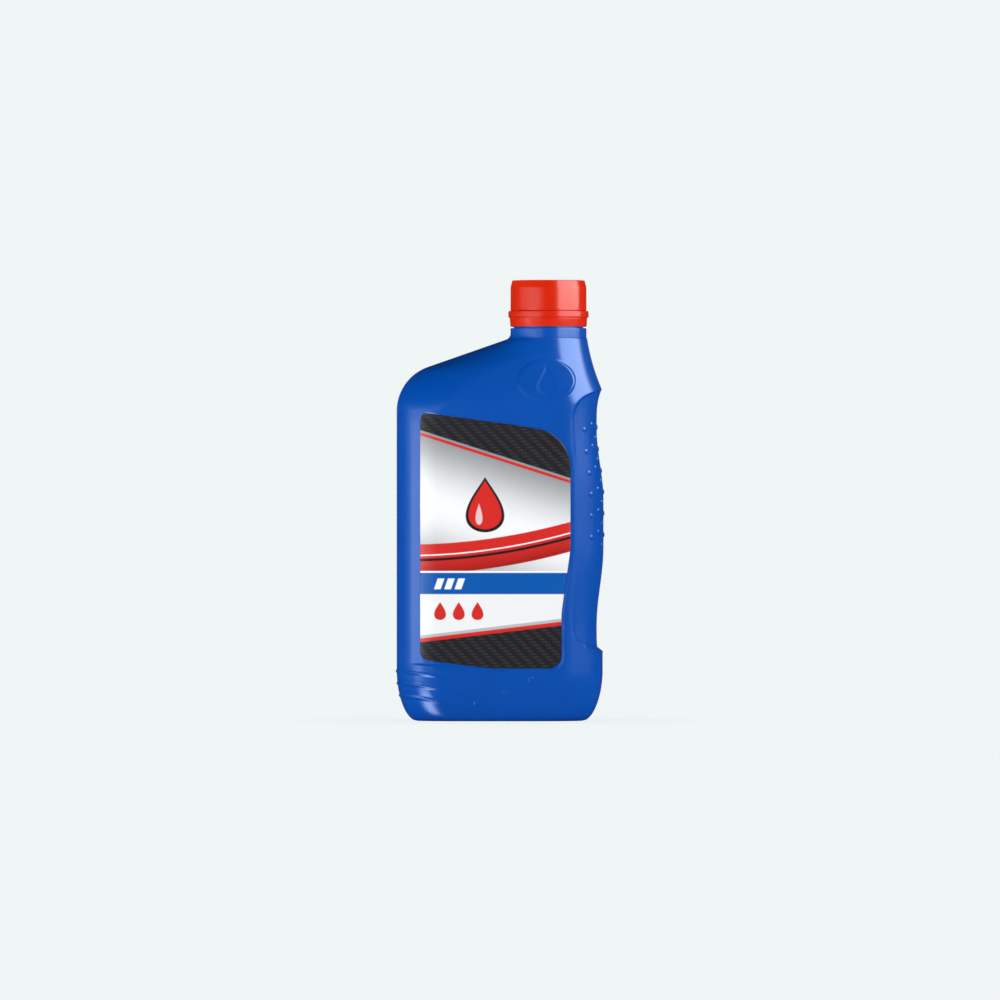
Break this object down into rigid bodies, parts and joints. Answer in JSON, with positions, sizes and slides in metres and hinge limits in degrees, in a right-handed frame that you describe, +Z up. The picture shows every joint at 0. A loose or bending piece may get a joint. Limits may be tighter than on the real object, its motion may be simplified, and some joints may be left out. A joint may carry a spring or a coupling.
{
  "type": "motor oil bottle",
  "caption": "Blow-moulded plastic oil bottle with an offset neck, finger grip, sunk label panels and a tamper-evident screw cap that unscrews along its thread.",
  "frame": {"origin": "middle of the bottle's base, on the surface that it stands on", "axes": "+Z up along the bottle, +X to the right of someone facing the label, -Y towards that person"},
  "size_m": [0.112, 0.0584, 0.236],
  "materials": {
    "bottle_blue": "satin moulded polyethylene, deep blue",
    "cap_red": "satin moulded polypropylene, orange red",
    "liner_foam": "soft white foam",
    "label_film": "glossy printed film",
    "oil_amber": "clear amber liquid"
  },
  "bodies": {
    "bottle": {"bottle_shell": "bottle_blue", "tamper_band": "cap_red", "front_label": "label_film", "oil": "oil_amber"},
    "liner": {"cap_liner": "liner_foam"},
    "cap": {"screw_cap": "cap_red"}
  },
  "joints": [
    {"name": "cap_lift", "type": "slide", "parent": "bottle", "child": "liner", "axis": [0, 0, 1], "range_m": [0, 0.0212]},
    {"name": "cap_turn", "type": "hinge", "parent": "liner", "child": "cap", "pos_m": [0.026, 0, 0.228], "axis": [0, 0, 1], "range_deg": [0, 1800]}
  ],
  "couplings": [
    {"joint": "cap_lift", "follows": "cap_turn", "m_per_rad": 0.00067322}
  ]
}
